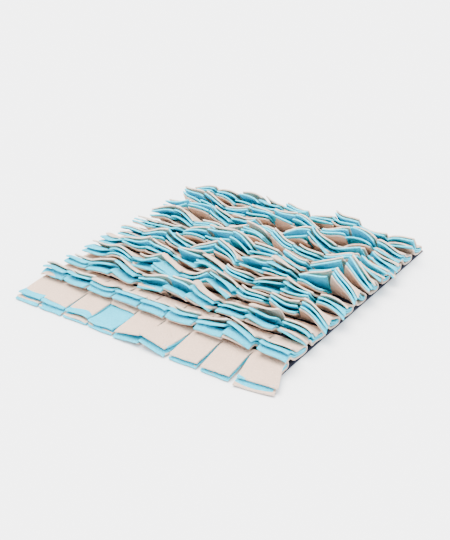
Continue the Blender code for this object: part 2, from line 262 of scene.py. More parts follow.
print("the map of an empty floor has", Pile().top.shape, "squares of", CELL * 1000, "mm")

# %% [markdown]
# ## Bodies for an exact test
# A flap is stored as pairs of nodes, one pair at each step from its root to its tip. With its thickness it
# becomes a body of triangles, open only at the back of its sewn band. Blender's BVH tree sorts them into
# boxes inside boxes, so it quickly finds which triangles of two bodies cross.

# %% Bodies of the flaps
STEPS = 4  # from a flap's root to its tip
FACES_A_STEP = 8  # triangles of a flap's body in one step
HELD_STEPS = 2  # the sewn band and the first step, where the flaps of a layer join


class Body:
    """The body of a flap and its sewn band, for finding out what it meets."""

    def __init__(self, nodes, thickness, layer, held_steps=0):
        over = nodes[:, 1:] - nodes[:, :1]
        upward = np.cross(np.gradient(nodes, axis=0), over)
        upward *= thickness / 2 / np.linalg.norm(upward, axis=2, keepdims=True)
        corners = np.stack([nodes - upward, nodes + upward], axis=1).reshape(-1, 3)
        faces = []
        for near in range(0, 4 * (len(nodes) - 1), 4):
            for a, b in ((0, 1), (2, 3), (0, 2), (1, 3)):
                faces.append((near + a, near + b, near + 4 + a))
                faces.append((near + b, near + 4 + b, near + 4 + a))
        end = 4 * (len(nodes) - 1)
        faces += [(end, end + 1, end + 2), (end + 1, end + 3, end + 2)]
        self.layer = layer
        self.low = corners.min(axis=0)
        self.high = corners.max(axis=0)
        self.whole = BVHTree.FromPolygons(corners.tolist(), faces)
        self.held_steps = held_steps
        self.free = BVHTree.FromPolygons(corners.tolist(), faces[held_steps * FACES_A_STEP :])

    def steps_that_meet(self, bodies):
        """The steps that meet other bodies, the sewn band being the first.

        Flaps of one layer join at the root, so only their free parts are compared.
        """
        met = set()
        for other in bodies:
            if (self.low > other.high).any() or (self.high < other.low).any():
                continue
            if self.layer == other.layer:
                faces = self.free.overlap(other.free)
                met |= {face // FACES_A_STEP + self.held_steps for face, _ in faces}
            else:
                met |= {face // FACES_A_STEP for face, _ in self.whole.overlap(other.whole)}
        return met


print("a flap's body has", FACES_A_STEP * (STEPS + 1) + 2, "triangles, its sewn band with it")

# %% [markdown]
# ## Reading a surface from a few nodes
# Each step between two pairs of nodes is two triangles. A table of weights turns the nodes into a dense
# grid of points on those triangles, in one multiplication, which is far quicker in Python than a loop.
# The points that feel for the pile reach a little past the tip and the sides, so that a flap keeps its
# distance there too.

# %% Points and normals of a flap
TOUCH_GRID = (50, 17)  # points down and across a flap that feel the pile under it
TOUCH_BEYOND = (0.12, 0.028)  # how far they reach past the tip, in steps, and past the sides, in widths
FINE_GRID = (170, 130)  # points that raise the pile, closer together than the squares of its map


def surface_weights(samples_along, samples_across, beyond_tip=0.0, beyond_side=0.0):
    """Weights that read a grid of samples from a flap's nodes, over the two triangles of each step."""
    weights = np.zeros((samples_along, samples_across, STEPS + 1, 2))
    for sample, place in enumerate(np.linspace(0, STEPS + beyond_tip, samples_along)):
        step = min(int(place), STEPS - 1)
        down = place - step
        over = np.linspace(-beyond_side, 1 + beyond_side, samples_across)
        first = down + over <= 1
        weights[sample, :, step, 0] = np.where(first, 1 - down - over, 0)
        weights[sample, :, step, 1] = np.where(first, over, 1 - down)
        weights[sample, :, step + 1, 0] = np.where(first, down, 1 - over)
        weights[sample, :, step + 1, 1] = np.where(first, 0, down + over - 1)
    return weights


TOUCH = surface_weights(*TOUCH_GRID, *TOUCH_BEYOND)
FINE = surface_weights(*FINE_GRID)


def spread(nodes, weights):
    """Points of the surface that a flap's nodes span."""
    return np.tensordot(weights, nodes, axes=2)


def normals(points):
    """Upward unit normals of a grid of points."""
    down_the_flap = np.gradient(points, axis=0)
    over_the_flap = np.gradient(points, axis=1)
    normal = np.cross(down_the_flap, over_the_flap)
    return normal / np.linalg.norm(normal, axis=2, keepdims=True)


print("points that feel the pile under a flap:", TOUCH.shape[0] * TOUCH.shape[1])

# %% Nodes of a flap
SLIT = 0.0024  # the widest a slit opens between two flaps that lie straight


def place_nodes(root, heights, runs, headings):
    """A flap's nodes, from its two root corners, the height of each node and each step's run."""
    nodes = np.zeros((STEPS + 1, 2, 3))
    nodes[0] = root
    for step in range(STEPS):
        nodes[step + 1, :, 0] = nodes[step, :, 0] + runs[step] * np.sin(headings[step])
        nodes[step + 1, :, 1] = nodes[step, :, 1] - runs[step] * np.cos(headings[step])
    opening = SLIT / 2 * np.minimum(1, np.arange(STEPS + 1))
    nodes[:, 0, 0] += opening
    nodes[:, 1, 0] -= opening
    nodes[:, :, 2] = heights
    return nodes


print("a flap's tip is", round((FLAP_PITCH - SLIT) * 1000, 1), "mm wide")

# %% [markdown]
# ## Laying one flap
# The flap starts at its wanted slope. Where a point of its underside is lower than the pile, the nodes
# around it are lifted, softly at first and then for sure. Its length stays the same, so a flap that climbs
# reaches less far. At the end it is nudged up until its body meets nothing.

# %% How a flap is lifted
HELD_SHARE = 0.6  # the part of the first step that the sewing holds
LEAST_UPRIGHT = 0.3  # a face steeper than this asks for no more height to keep its gap


def lift_weights(full):
    """How far each free node rises for each millimetre that a sample lacks.

    Part of the lack at a time finds the lowest resting place, and the full lift makes sure of it.
    """
    weights = np.clip(TOUCH, 0, None)
    weights[:, :, 0] = 0
    weights[np.linspace(0, STEPS, TOUCH.shape[0]) < HELD_SHARE] = 0
    if full:
        weights /= np.maximum((weights**2).sum(axis=(2, 3), keepdims=True), 1e-6)
    return weights


PART_LIFT = lift_weights(full=False)
FULL_LIFT = lift_weights(full=True)
FIRST_STEP = np.linspace(0, STEPS, TOUCH.shape[0])[:, None] < 1


def lifted(pile, before, root, heights, runs, headings, thickness, weights):
    """A flap's heights after one lift off the pile.

    Next to its root a flap can't meet its neighbours, so the first step looks at the pile before them.
    """
    points = spread(place_nodes(root, heights, runs, headings), TOUCH)
    upward = normals(points)
    underside = points - upward * thickness / 2
    under = np.where(FIRST_STEP, before.height(underside), pile.height(underside))
    gap = CLEARANCE / np.maximum(upward[:, :, 2], LEAST_UPRIGHT)
    lack = np.maximum(under + gap - underside[:, :, 2], 0)
    return heights + (lack[:, :, None, None] * weights).max(axis=(0, 1))


print("a full lift raises a node by at most", round(FULL_LIFT.max(), 2), "times what is lacking")

# %% How a flap bends
STEEPEST_CLIMB = math.tan(math.radians(52))
STEEPEST_DROP = math.tan(math.radians(28))
MOST_RISE = 0.95  # the most that a step rises, as a share of its length


def bend_softly(heights, runs, step_length):
    """Keeps each step of a flap within the slopes that fleece takes."""
    for step in range(STEPS - 1, 0, -1):
        heights[step] = np.maximum(heights[step], heights[step + 1] - STEEPEST_CLIMB * runs[step])
    for step in range(1, STEPS + 1):
        lowest = heights[step - 1] - STEEPEST_DROP * runs[step - 1]
        highest = heights[step - 1] + MOST_RISE * step_length
        heights[step] = np.clip(heights[step], lowest, highest)
    return heights


print("a flap climbs by at most", round(math.degrees(math.atan(STEEPEST_CLIMB))), "degrees a step")

# %% Laying one flap
FIRST_EASE = 0.25  # the share of its lean that a flap has next to the sewing
LAYING_ROUNDS = 6  # how often a flap is lifted and then brought back to its length
LIFTS = 6  # soft lifts off the pile in each round
LAST_LIFTS = 3  # lifts of each kind after the last round
LEAST_GAP = 0.0003  # what the exact test leaves between two flaps
NUDGE = 0.00015  # one small lift of a step that still meets something
MOST_NUDGES = 60  # after that a flap stays where it is


def lay_flap(pile, before, layer, behind, root, length, thickness, lean, twist, turn):
    """The middle surface of one flap, resting on the pile.

    It starts at its two root corners, and its sewn band lies between them and the two points behind.
    """
    step_length = length / STEPS
    eased = np.where(np.arange(STEPS) == 0, FIRST_EASE, 1)
    side = np.array([-1, 1])
    slopes = np.radians(eased[:, None] * (lean + twist * side))
    headings = np.radians(turn) * np.minimum(1, np.arange(STEPS))
    runs = step_length * np.cos(slopes)
    for _ in range(LAYING_ROUNDS):
        climb = np.cumsum(runs * np.tan(slopes), axis=0)
        heights = root[0, 2] + np.vstack([[0, 0], climb])
        for _ in range(LIFTS):
            heights = lifted(pile, before, root, heights, runs, headings, thickness, PART_LIFT)
        heights = bend_softly(heights, runs, step_length)
        rise = np.diff(heights, axis=0)
        runs = (runs + np.sqrt(step_length**2 - rise**2)) / 2
    for weights in [PART_LIFT] * LAST_LIFTS + [FULL_LIFT] * LAST_LIFTS:
        heights = lifted(pile, before, root, heights, runs, headings, thickness, weights)
    for _ in range(MOST_NUDGES):
        nodes = np.concatenate([behind, place_nodes(root, heights, runs, headings)])
        body = Body(nodes, thickness + 2 * LEAST_GAP, layer, HELD_STEPS)
        met = body.steps_that_meet(pile.bodies)
        if not met:
            break
        for step in met:
            heights[max(step - 1, 1) : step + 1] += NUDGE
    return place_nodes(root, heights, runs, headings)


print("lifts before the exact test:", LAYING_ROUNDS * LIFTS + 2 * LAST_LIFTS)

# %% [markdown]
# ## Laying a row
# One row takes three rounds of nine flaps: the beige flaps at the bottom, the blue pair, and the beige
# flaps on top, which come round the back of the band in a turn. After each flap the pile grows.

# %% Growing the pile
BODY_SHEETS = (-0.5, -0.25, 0, 0.25, 0.5)  # heights in a flap's thickness at which the pile is raised


def cover(pile, nodes, behind, thickness, layer):
    """Adds a flap to the pile: its body, and a few sheets of points from its underside to its top."""
    pile.bodies.append(Body(np.concatenate([behind, nodes]), thickness, layer, HELD_STEPS))
    points = spread(nodes, FINE)
    upward = normals(points)
    for share in BODY_SHEETS:
        pile.add(points + upward * thickness * share)


def cover_turn(pile, turn):
    """Adds the turn of a row's back flaps to the pile, with room for its thickness."""
    left = int(MAP_MARGIN / CELL)
    right = int((MAP_MARGIN + WIDTH) / CELL)
    highest = max(z for _, z in turn) + FLEECE / 2
    front = int((MAP_MARGIN + turn[-1][0]) / CELL)
    back = int((MAP_MARGIN + max(y for y, _ in turn) + FLEECE / 2) / CELL)
    strip = pile.top[left : right + 1, front : back + 1]
    np.maximum(strip, highest, out=strip)


print("a flap raises the pile at", len(BODY_SHEETS) * FINE.shape[0] * FINE.shape[1], "points")

# %% One layer of a row
def flap_edge(flap):
    """The x of the slit on the left of a flap."""
    return (flap - 1) * FLAP_PITCH - WIDTH / 2


def lay_layer(pile, row, layer, held, length, thickness):
    """Lays the nine flaps of one layer of a row and returns their nodes.

    held is the last piece of the sewn band: the y and z of the line behind the roots, then the roots'.
    """
    before = Pile()
    before.top = pile.top.copy()
    flaps = []
    for flap in range(1, FLAPS + 1):
        behind, root = np.array([[(flap_edge(side), y, z) for side in (flap, flap + 1)] for y, z in held])
        lean, twist, turn = flap_style(row, flap, layer)
        cut = length * length_share(row, flap, layer)
        nodes = lay_flap(pile, before, (row, layer), behind[None], root, cut, thickness, lean, twist, turn)
        cover(pile, nodes, behind[None], thickness, (row, layer))
        flaps.append(nodes)
    return flaps


print("slits at x:", [round(flap_edge(flap), 4) for flap in range(1, FLAPS + 2)])

# %% The backing and a whole row
SEWN_GAP = 0.0004  # between bands that are sewn face to face
BAND_HEIGHT = BACKING + SEWN_GAP + FLEECE / 2
BLUE_HEIGHT = BACKING + 2 * SEWN_GAP + FLEECE + BLUE_PAIR / 2
TURN = ((0.0026, 0.0018), (0.0030, 0.0062), (0.0004, 0.0091))  # back from the band and up, bend by bend


def lay_backing(pile):
    """The backing's top, as the first thing on the floor."""
    front = int((MAP_MARGIN - BACKING_FRONT) / CELL)
    back = int((MAP_MARGIN + DEPTH + BACKING_BACK) / CELL)
    left = int((MAP_MARGIN - BACKING_SIDE) / CELL)
    right = int((MAP_MARGIN + WIDTH + BACKING_SIDE) / CELL)
    pile.top[left : right + 1, front : back + 1] = BACKING
    side = WIDTH / 2 + BACKING_SIDE
    edges = [[(x, y, BACKING / 2) for x in (-side, side)] for y in (-BACKING_FRONT, DEPTH + BACKING_BACK)]
    pile.bodies.append(Body(np.array(edges), BACKING, "backing"))


def lay_row(pile, row):
    """Lays a row, and gives the held lines and the nodes of its three layers."""
    y = row_place(row)
    beige_band = [(y + BAND / 2, BAND_HEIGHT), (y - BAND / 2, BAND_HEIGHT)]
    blue_band = [(y + BLUE_BAND / 2, BLUE_HEIGHT), (y - BLUE_BAND / 2, BLUE_HEIGHT)]
    front = lay_layer(pile, row, FRONT, beige_band, FRONT_FLAP, FLEECE)
    pair = lay_layer(pile, row, PAIR, blue_band, BLUE_FLAP, BLUE_PAIR)
    turn = [(y + BAND / 2, BAND_HEIGHT)]
    turn += [(y + BAND / 2 + across, BAND_HEIGHT + up) for across, up in TURN]
    cover_turn(pile, turn)
    back = lay_layer(pile, row, BACK, turn[-2:], BACK_FLAP, FLEECE)
    edges = [[(x, y, z) for x in (-WIDTH / 2, WIDTH / 2)] for y, z in turn]
    pile.bodies.append(Body(np.array(edges), FLEECE, "turn"))
    return {FRONT: (beige_band, front), PAIR: (blue_band, pair), BACK: (turn[-2:], back)}


print("the blue band lies", round((BLUE_HEIGHT - BAND_HEIGHT) * 1000, 1), "mm above the beige one")

# %% Laying the whole mat
pile = Pile()
lay_backing(pile)
laid_rows = {row: lay_row(pile, row) for row in range(1, ROWS + 1)}
print("laid", sum(len(flaps) for row in laid_rows.values() for _, flaps in row.values()), "flaps")

# %% [markdown]
# ## From nodes to soft leaves
# Real fleece bends in smooth curves, so the nodes on each side of a flap are joined by a smooth curve that
# passes through them. A Catmull-Rom curve does that: between two nodes it looks at one more node on
# either side. The flap's root also looks back at the sewn band, so the leaf leaves it smoothly.

# %% Smooth curves through the nodes
LEAF_STEPS = 8  # from a leaf's root to its tip
LEAF_COLUMNS = 7  # points across it


def curve_weights(places):
    """Weights that read smooth points from the nodes, with one more node before and after them."""
    weights = np.zeros((len(places), STEPS + 3))
    for sample, place in enumerate(places):
        step = min(int(place), STEPS - 1)
        t = place - step
        if t > 1:  # past the tip it goes straight on
            weights[sample, STEPS : STEPS + 2] = 1 - t, t
            continue
        weights[sample, step] = (-t + 2 * t**2 - t**3) / 2
        weights[sample, step + 1] = (2 - 5 * t**2 + 3 * t**3) / 2
        weights[sample, step + 2] = (t + 4 * t**2 - 3 * t**3) / 2
        weights[sample, step + 3] = (-(t**2) + t**3) / 2
    return weights


def smooth_edge(behind, nodes, share):
    """A smooth edge of a leaf, from one side of a flap's nodes, down to a share of its length."""
    first = nodes[1] - nodes[0]
    back = behind - nodes[0]
    before = nodes[0] + back * np.linalg.norm(first) / np.linalg.norm(back)
    chain = np.vstack([before, nodes, 2 * nodes[-1] - nodes[-2]])
    return curve_weights(np.linspace(0, STEPS * share, LEAF_STEPS + 1)) @ chain


print("weights of the nodes halfway down a flap:", curve_weights([STEPS / 2])[0])

# %% A smooth leaf
def smooth_leaf(row, flap, layer, shares, raised):
    """A grid of points over a leaf, steps down it and columns across it, raised off its layer's nodes."""
    held, flaps = laid_rows[row][layer]
    behind_y, behind_z = held[0]
    edges = []
    for side, share in enumerate(shares):
        behind = np.array([flap_edge(flap + side), behind_y, behind_z])
        edges.append(smooth_edge(behind, flaps[flap - 1][:, side], share)[:, None])
    left, right = edges
    across = np.linspace(0, 1, LEAF_COLUMNS)[None, :, None]
    grid = left * (1 - across) + right * across
    return grid + normals(grid) * raised


print("points on a leaf:", (LEAF_STEPS + 1) * LEAF_COLUMNS)

# %% [markdown]
# ## Giving each stack its own ruffle
# Handled fleece never stays flat. A stack arches or cups, its edge waves, its tip curls, and now and then a
# corner lifts. It opens where the strips were folded, between its two blue leaves. All of these lift
# the leaf and grow towards its tip, so the root stays sewn and nothing is pushed down into the flaps
# below. The front row has very little of it: there the tips of the lower blue and the top leaves nod down
# over the leaf under them.

# %% How much a leaf ruffles
RUFFLE = {1: 0.2, 2: 0.6, 3: 0.9}  # the share of the ruffle that the front rows have; the others have it all
OWN_RUFFLE = {(1, 1): 0.5, (1, 3): 0.5, (1, 4): 0.4, (1, 6): 0.35}  # the same for single stacks: row, flap
ARCH = (-0.006, 0.007)  # from a cup to an arch
WAVE = (-0.004, 0.004)  # a wave that runs one way or the other
CURL = (0, 0.005)  # of the tip
CORNER = (-0.008, 0.005)  # below zero no corner lifts
OPENING = (-0.04, 0.008)  # between the two blue leaves; below zero the stack stays shut
LOOSE = 0.0012  # how far even a shut stack opens there
OWN_ARCH, OWN_OPENING = 0.0005, 0.0007  # how far single leaves differ
STACK_RUFFLE_CHANCE, LEAF_RUFFLE_CHANCE = 7000, 9000


def ruffle_of(row, flap, leaf):
    """How far a leaf arches, waves, curls, lifts a corner and opens, in metres at its tip."""
    stack = chance(STACK_RUFFLE_CHANCE, row, flap)
    arch = stack.uniform(*ARCH)
    wave = stack.uniform(*WAVE)
    curl = stack.uniform(*CURL)
    corner = stack.choice((-1, 1)) * max(stack.uniform(*CORNER), 0)
    opening = stack.uniform(0, LOOSE) + max(stack.uniform(*OPENING), 0)
    own = chance(LEAF_RUFFLE_CHANCE, row, flap, leaf)
    if leaf < 2:
        opening = 0
    opening += own.uniform(0, OWN_OPENING)
    arch += own.uniform(-OWN_ARCH, OWN_ARCH)
    return np.array([arch, wave, curl, corner, opening]) * OWN_RUFFLE.get((row, flap), RUFFLE.get(row, 1.0))


print("arch, wave, curl, corner and opening of a back stack, in mm:", (ruffle_of(11, 5, 3) * 1000).round(1))

# %% A ruffled leaf
MOST_LIFT = 0.011  # the lifts add up, but never past this
ARCH_GROWTH, WAVE_GROWTH, CORNER_GROWTH, CURL_GROWTH = 1.6, 2, 2.5, 3  # the higher, the nearer the tip
WAVE_TOP = 2.6  # brings the crest of across * (1 - across**2) to 1


def ruffled(grid, arch, wave, curl, corner, opening):
    """The leaf with its ruffle. Every part of it lifts the leaf, and grows from nothing at the root.

    across runs from -1 to 1, so across**2 is a cup, and 1 less across**2 is an arch.
    """
    down = np.linspace(0, 1, grid.shape[0])[:, None]
    across = np.linspace(-1, 1, grid.shape[1])[None, :]
    lift = abs(arch) * np.where(arch > 0, 1 - across**2, across**2) * down**ARCH_GROWTH
    crest = np.sign(wave) * WAVE_TOP * across * (1 - across**2)
    lift = lift + abs(wave) * (1 + crest) / 2 * down**WAVE_GROWTH
    lift = lift + curl * down**CURL_GROWTH + opening * down**ARCH_GROWTH
    lift = lift + abs(corner) * np.clip(across * np.sign(corner), 0, 1) ** 2 * down**CORNER_GROWTH
    lift = MOST_LIFT * np.tanh(lift / MOST_LIFT)
    return grid + normals(grid) * lift[:, :, None]


flat_leaf = smooth_leaf(11, 5, BACK, (1, 1), 0)
most_moved = np.abs(ruffled(flat_leaf, *ruffle_of(11, 5, 3)) - flat_leaf).max()
print("the top leaf of that stack moves by up to", round(most_moved * 1000, 1), "mm")

# %% [markdown]
# ## Four leaves a stack
# The solid model has one thick blue flap for the two blue leaves that lie face to face. Here they part. Each
# blue leaf clings to the beige one that was cut with it, so the lower blue leaf lies on the lower beige one
# and the upper blue leaf hangs from the upper beige one. Slits and tips are cut by hand, so no two leaves
# are quite the same length, their tips wave a little, and the last flap of the front row flares and is
# cut askew.

# %% How long each leaf is cut
LEAVES = ((FRONT, 0), (PAIR, -1), (PAIR, 1), (BACK, 0))  # layer, then its side of the layer's middle
TOP_LEAF = 3
USUAL_SHARES = (0.97, 1.0, 0.965, 0.97)  # of the solid flap's length, leaf by leaf from the bottom up
FIRST_ROW_SHARES = {  # the same, for some stacks of the front row
    5: (0.9, 0.96, 0.88, 1.0),
    6: (0.9, 0.97, 0.88, 1.0),
    7: (0.9, 0.93, 0.86, 1.0),
    8: (0.9, 0.93, 0.86, 1.0),
    9: (1.05, 1.0, 0.93, 1.0),
}
UNEVEN = 0.03  # how much shorter the scissors may make an edge
TOP_CUT = (-0.8, 0.3)  # how much shorter a top leaf is; below UNEVEN it is only that much shorter
END_STACK = (1, FLAPS)
END_CUT = 0.88  # the share of its length that the end flap of the front row keeps on its right
CUT_CHANCE, SCISSOR_CHANCE = 5000, 6000


def cut_shares(row, flap, leaf):
    """The shares of the layer's length that a leaf's two edges are cut to."""
    cut = chance(CUT_CHANCE, row, flap, leaf)
    share = (FIRST_ROW_SHARES.get(flap, USUAL_SHARES) if row == 1 else USUAL_SHARES)[leaf]
    shares = np.array([share * (1 - cut.uniform(0, UNEVEN)) for _ in range(2)])
    if (row, flap) == END_STACK:
        shares[1] *= END_CUT
    if row > 2 and leaf == TOP_LEAF:
        shares *= 1 - max(cut.uniform(*TOP_CUT), UNEVEN)
    return shares


print("the end leaf of the front row is cut to", cut_shares(*END_STACK, TOP_LEAF).round(2), "of its flap")

# %% How the scissors leave its sides and its tip
END_FLARE = (0.0130, 0.0085, 0.0080, 0.0135)  # how far that flap widens, leaf by leaf
TIP_WAVE = 0.0008  # how far the cut across a tip strays from straight
RUN_IN, OPEN_RUN_IN = 0.0010, 0.0018  # the most that a side runs in, and the same where slits gape
LEAST_RUN_IN = 0.3  # as a share of the most
GAPING_FROM = 5  # the flap of the front row from which its slits gape
TIP_ONLY = 5  # a power that keeps the waves at the tip


def hand_cut(grid, row, flap, leaf):
    """The leaf as scissors leave it: sides that run in a little, so the slits open, and a wavy tip."""
    cut = chance(SCISSOR_CHANCE, row, flap, leaf)
    most = OPEN_RUN_IN if row == 1 and flap >= GAPING_FROM else RUN_IN
    sides = np.array([cut.uniform(LEAST_RUN_IN, 1), cut.uniform(LEAST_RUN_IN, 1)]) * most
    across = np.linspace(0, 1, grid.shape[1])[None, :, None]
    down = np.linspace(0, 1, grid.shape[0])[:, None, None]
    if (row, flap) == END_STACK:
        sides[1] = -END_FLARE[leaf]
    inward = (grid[:, -1:] - grid[:, :1]) / FLAP_PITCH
    grid = grid + inward * down * (sides[0] * (1 - across) - sides[1] * across)
    forward = grid[-1:] - grid[-2:-1]
    forward = forward / np.linalg.norm(forward, axis=2, keepdims=True)
    waves = np.array([cut.uniform(-TIP_WAVE, TIP_WAVE) for _ in range(LEAF_COLUMNS)])[None, :, None]
    return grid + down**TIP_ONLY * forward * waves


flat_wide = np.linalg.norm(flat_leaf[-1, -1] - flat_leaf[-1, 0])
cut_leaf = hand_cut(flat_leaf, ROWS, 5, TOP_LEAF)
cut_wide = np.linalg.norm(cut_leaf[-1, -1] - cut_leaf[-1, 0])
print("a tip is cut from", round(flat_wide * 1000, 1), "to", round(cut_wide * 1000, 1), "mm wide")

# %% A leaf that clings to its neighbour
CUT_LENGTHS = (FRONT_FLAP, BLUE_FLAP, BACK_FLAP)
CLING_CURVE = 0.7  # below 1, so that a leaf clings from close to its root
MOST_LONGER = 1.5  # a blue leaf much longer than its beige one has nothing to cling to


def leaf_surface(row, flap, leaf, cling):
    """One leaf without ruffle. A cling of 1 holds a blue leaf all the way to its beige one."""
    layer, side = LEAVES[leaf]
    shares = cut_shares(row, flap, leaf)
    grid = smooth_leaf(row, flap, layer, shares, side * FLEECE / 2)
    if side:
        beige = layer + side
        lengths = [CUT_LENGTHS[part] * length_share(row, flap, part) for part in (layer, beige)]
        longer = lengths[0] / lengths[1]
        if longer < MOST_LONGER:
            beside = smooth_leaf(row, flap, beige, shares * longer, -side * FLEECE)
            cling = cling * np.linspace(0, 1, LEAF_STEPS + 1)[:, None, None] ** CLING_CURVE
            grid = grid * (1 - cling) + beside * cling
    return hand_cut(grid, row, flap, leaf)


clung = leaf_surface(ROWS, 5, 2, 1) - leaf_surface(ROWS, 5, 2, 0)
print("full cling moves a blue leaf by up to", round(np.abs(clung).max() * 1000, 1), "mm")

# %% [markdown]
# ## Keeping the leaves apart
# Every leaf is tested against the leaves already laid and against the plain places of those still to come.
# If it meets one, it clings less, ruffles less, or in the end lies as plain as the solid one. The test
# takes a slightly thinner body, because fleece gives where it is pressed. It isn't perfect: about one leaf
# in eight finds no free place, stays plain, and still crosses a ruffled leaf near its tip.

# %% Bodies of the fine leaves
TESTED_SHARE = 0.7  # of a leaf's thickness
HELD_LEAF_STEPS = 2  # next to the root, where leaves are pressed together


class LeafBody:
    """Both faces of a fine leaf, for finding out whether it meets another."""

    def __init__(self, grid):
        offset = normals(grid) * FLEECE * TESTED_SHARE / 2
        rows, columns = grid.shape[:2]
        corners = np.concatenate([(grid - offset).reshape(-1, 3), (grid + offset).reshape(-1, 3)])
        faces = []
        for face in (0, rows * columns):
            for step in range(HELD_LEAF_STEPS, rows - 1):
                for column in range(columns - 1):
                    a = face + step * columns + column
                    faces.append((a, a + 1, a + columns + 1, a + columns))
        self.low = corners.min(axis=0)
        self.high = corners.max(axis=0)
        self.tree = BVHTree.FromPolygons(corners.tolist(), faces)

    def meets(self, others):
        for other in others:
            if (self.low > other.high).any() or (self.high < other.low).any():
                continue
            if self.tree.overlap(other.tree):
                return True
        return False


print("a leaf is tested as", round(FLEECE * TESTED_SHARE * 1000, 2), "mm thick")

# %% One fine leaf
ATTEMPTS = ((0.5, 1), (0.5, 0.6), (0.3, 0.6), (0.3, 0.3), (0, 0.5), (0, 0.2), (0, 0))  # cling, ruffle
UNSOLVED = -1  # marks a leaf that still meets another after the last attempt
NOD = {(1, 1): 0.0024, (1, 3): 0.0024}  # row and leaf, then how far the tip bends down
NOD_CURVE = 8  # a high power, so that only the tip does


def fine_leaf(row, flap, leaf, laid, to_come, most):
    """One leaf's grid of points, with as much cling and ruffle as it has room for, up to a share."""
    ruffle = ruffle_of(row, flap, leaf)
    down = np.linspace(0, 1, LEAF_STEPS + 1)[:, None, None]
    for cling, amount in ATTEMPTS:
        if amount > most:
            continue
        grid = ruffled(leaf_surface(row, flap, leaf, cling), *(amount * ruffle))
        grid = grid - normals(grid) * NOD.get((row, leaf), 0) * down**NOD_CURVE
        body = LeafBody(grid)
        if not body.meets(laid) and not body.meets(to_come):
            break
    else:
        amount = UNSOLVED
    laid.append(body)
    return grid, amount


def plain_places(row, leaf):
    """Where the nine leaves of a kind in a row lie without cling or ruffle."""
    return [LeafBody(leaf_surface(row, flap, leaf, 0)) for flap in range(1, FLAPS + 1)]


print("a leaf gets up to", len(ATTEMPTS), "attempts")

# %% Laying the fine leaves
TOP_FREEDOM = 0.4  # how much more than the blue leaf under it a top leaf may ruffle

fine_leaves = {}
ruffle_amounts = {}
laid_bodies = []
for row in range(1, ROWS + 1):
    tops = plain_places(row, TOP_LEAF)
    next_bottoms = plain_places(row + 1, 0) if row < ROWS else []
    for leaf in range(len(LEAVES)):
        for flap in range(1, FLAPS + 1):
            to_come = list(next_bottoms) if leaf > 1 else []
            if leaf == 2:
                to_come += tops[: flap - 1] + tops[flap:]
            if leaf == TOP_LEAF:
                to_come += tops[flap:]
            most = max(ruffle_amounts[row, 2, flap], 0) + TOP_FREEDOM if leaf == TOP_LEAF else 1
            grid, amount = fine_leaf(row, flap, leaf, laid_bodies, to_come, most)
            fine_leaves[row, leaf, flap] = grid
            ruffle_amounts[row, leaf, flap] = amount
shares_left = list(ruffle_amounts.values())
print("leaves:", len(fine_leaves), "fully ruffled:", shares_left.count(1))
print("still meeting another leaf:", shares_left.count(UNSOLVED))

# %% [markdown]
# ## Cutting the cloth
# A strip of the mat is one piece of cloth: its sewn band, its turn and its flaps. We build it as an open
# sheet, then let three modifiers do the tailoring. Subdivision makes the bends smooth and keeps the cut
# corners, Solidify gives the fleece its thickness, and Bevel softens the cut edges. The cut edge gets its
# own, lighter material: a painted highlight where light catches the edge.

# %% One strip as an open sheet
def band_points(y, z):
    """A line of points across the whole strip, shared by neighbouring flaps at the slits."""
    count = FLAPS * (LEAF_COLUMNS - 1) + 1
    return [(x, y, z) for x in np.linspace(-WIDTH / 2, WIDTH / 2, count)]


def strip_mesh(name, lines, leaf_sets):
    """A sheet and its area: lines across the band, each a y and a z, and leaves hung on two of them."""
    mesh = bpy.data.meshes.new(name)
    sheet = bmesh.new()
    rows = [[sheet.verts.new(point) for point in band_points(y, z)] for y, z in lines]
    for lower, upper in zip(rows, rows[1:]):
        for a, b, c, d in zip(lower, lower[1:], upper[1:], upper):
            sheet.faces.new((a, b, c, d))
    for line, leaves in leaf_sets:
        for flap, grid in enumerate(leaves):
            start = flap * (LEAF_COLUMNS - 1)
            last = rows[line][start : start + LEAF_COLUMNS]
            for points in grid[1:]:
                following = [sheet.verts.new(point) for point in points]
                for a, b, c, d in zip(last, last[1:], following[1:], following):
                    sheet.faces.new((a, b, c, d))
                last = following
    bmesh.ops.recalc_face_normals(sheet, faces=sheet.faces)
    bmesh.ops.translate(sheet, verts=sheet.verts, vec=SHIFT)
    area = sum(face.calc_area() for face in sheet.faces)
    sheet.to_mesh(mesh)
    sheet.free()
    return mesh, area


print("points across a band:", len(band_points(0, 0)))

# %% Tailoring
SOFT_EDGE = 0.0006  # how far a cut edge is rounded
SHARP = math.radians(60)  # only edges sharper than this are


def soften(piece, thickness):
    """Thickness for an open sheet, half of it on each side, and rounded cut edges."""
    thick = piece.modifiers.new("thickness", "SOLIDIFY")
    thick.thickness = thickness
    thick.offset = 0
    edge = piece.modifiers.new("soft edges", "BEVEL")
    edge.width = SOFT_EDGE
    edge.segments = 2
    edge.limit_method = "ANGLE"
    edge.angle_limit = SHARP
    return thick, edge


def tailored(name, mesh, face_finish, edge_highlight_finish):
    """An object of soft cloth from an open sheet."""
    piece = bpy.data.objects.new(name, mesh)
    bpy.context.scene.collection.objects.link(piece)
    mesh.materials.append(face_finish)
    mesh.materials.append(edge_highlight_finish)
    mesh.shade_smooth()
    smooth = piece.modifiers.new("smooth bends", "SUBSURF")
    smooth.levels = smooth.render_levels = 1
    smooth.boundary_smooth = "PRESERVE_CORNERS"
    thick, edge = soften(piece, FLEECE)
    # the rim takes the lighter edge material: a painted highlight
    thick.material_offset_rim = 1
    edge.use_clamp_overlap = False
    return piece


print("cut edges are rounded by", SOFT_EDGE * 1000, "mm")

# %% [markdown]
# ## Fleece, close up
# Brushed fleece is a mat of fine fibres. From a step away it reads as a soft mottle with tiny flecks and no
# gloss. One shader node group makes that mottle for both colours: it mixes three sizes of noise and puts
# out a colour and a height for the Bump node. Every fleece material places the same group with its own
# colours.

